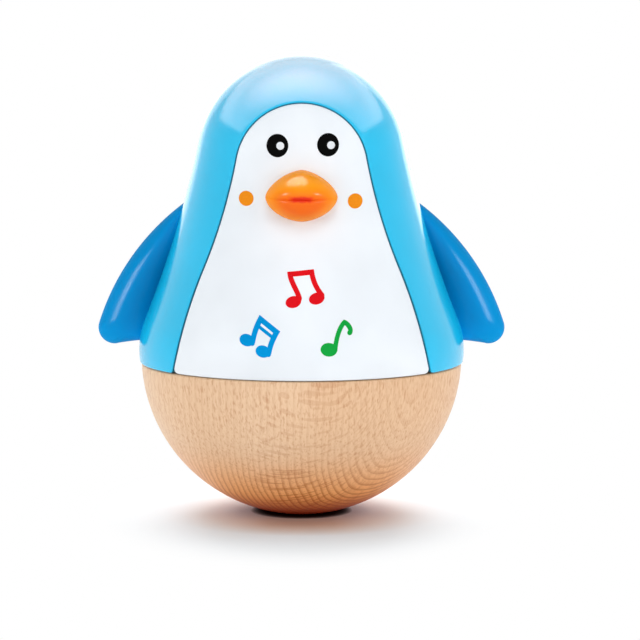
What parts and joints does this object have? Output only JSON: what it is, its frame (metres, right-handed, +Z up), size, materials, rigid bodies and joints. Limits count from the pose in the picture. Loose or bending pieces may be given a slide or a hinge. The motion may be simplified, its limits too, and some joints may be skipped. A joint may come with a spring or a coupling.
{
  "type": "roly-poly chime toy",
  "caption": "Roly-poly penguin toy: a moulded two-part body with beak and wings on a weighted round wooden base, with a chime and swinging clapper inside.",
  "frame": {"origin": "middle of the small flat under the wooden base, where the toy rests", "axes": "+Z up along the toy's upright axis, -Y the way the face looks, +X towards the toy's left wing"},
  "size_m": [0.1026, 0.0813, 0.115],
  "materials": {
    "beech": "turned, sanded and clear oiled",
    "ballast_steel": "mild steel, turned",
    "screw_steel": "zinc plated",
    "deck_plastic": "moulded ABS, fine matt",
    "block_zinc": "die-cast zinc, as cast",
    "tone_steel": "drawn spring steel",
    "bridge_plastic": "moulded ABS, fine matt",
    "link_nylon": "moulded nylon",
    "ball_brass": "turned and tumbled",
    "hood_plastic": "moulded ABS, high gloss light blue",
    "face_plastic": "moulded ABS, high gloss white, printed",
    "beak_plastic": "moulded ABS, gloss orange",
    "wing_plastic": "moulded ABS, gloss blue"
  },
  "bodies": {
    "toy": {"wooden_base": "beech", "ballast_weight": "ballast_steel", "ballast_screw": "screw_steel", "deck_plate": "deck_plastic", "deck_screws": "screw_steel", "bridge": "bridge_plastic", "bridge_screws": "screw_steel", "tone_block": "block_zinc", "tone_block_screws": "screw_steel", "tone_pin_1": "tone_steel", "tone_pin_2": "tone_steel", "tone_pin_3": "tone_steel", "tone_pin_4": "tone_steel", "tone_pin_5": "tone_steel", "tone_pin_6": "tone_steel", "tone_pin_7": "tone_steel", "tone_pin_8": "tone_steel", "link_pin": "screw_steel", "back_shell": "hood_plastic", "face_shell": "face_plastic", "beak": "beak_plastic", "beak_screw": "screw_steel", "wing_left": "wing_plastic", "wing_right": "wing_plastic", "wing_screws": "screw_steel"},
    "link": {"swing_link": "link_nylon", "clapper_pin": "screw_steel"},
    "clapper": {"clapper_stem": "tone_steel", "clapper_ball": "ball_brass"}
  },
  "joints": [
    {"name": "link_swing", "type": "hinge", "parent": "toy", "child": "link", "pos_m": [0, 0, 0.083], "axis": [1, 0, 0], "range_deg": [-17.5, 17.5]},
    {"name": "clapper_swing", "type": "hinge", "parent": "link", "child": "clapper", "pos_m": [0, 0, 0.075], "axis": [0, 1, 0], "range_deg": [-24, 24]}
  ]
}
